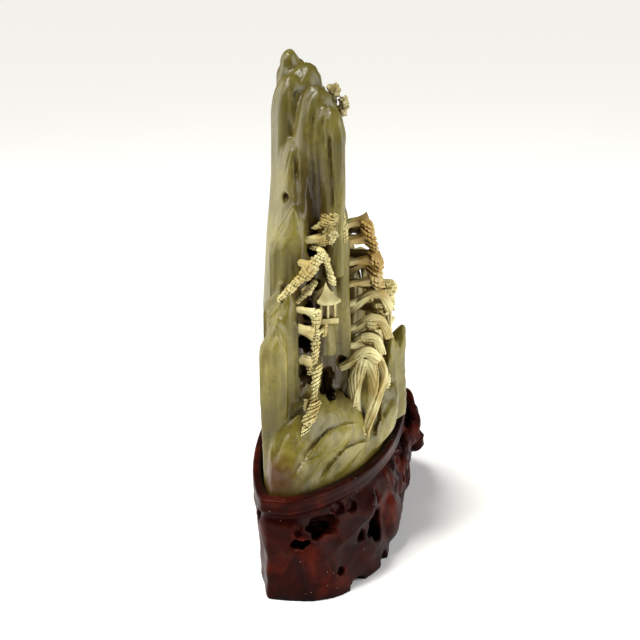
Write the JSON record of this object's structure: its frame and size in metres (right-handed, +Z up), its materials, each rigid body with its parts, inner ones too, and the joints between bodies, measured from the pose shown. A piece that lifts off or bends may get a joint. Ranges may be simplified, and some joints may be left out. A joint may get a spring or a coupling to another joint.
{
  "type": "carved stone mountain with stand",
  "caption": "Carved soapstone landscape mountain with peaks, stepped pine foliage, twisted trunks and small pavilions, seated in a carved hardwood rockwork stand.",
  "frame": {"origin": "middle of the part's box at the underside of the stand", "axes": "+X along the length towards the plainer far end, +Y towards the polished back, +Z up; the carved front faces -Y"},
  "size_m": [0.222, 0.1059, 0.292],
  "materials": {
    "soapstone": "satin, hand polished, mottled olive and cream",
    "stained_hardwood": "glossy dark red-brown stain, worn on the edges"
  },
  "bodies": {
    "root": {"mountain_carving": "soapstone", "carved_stand": "stained_hardwood"}
  },
  "joints": []
}
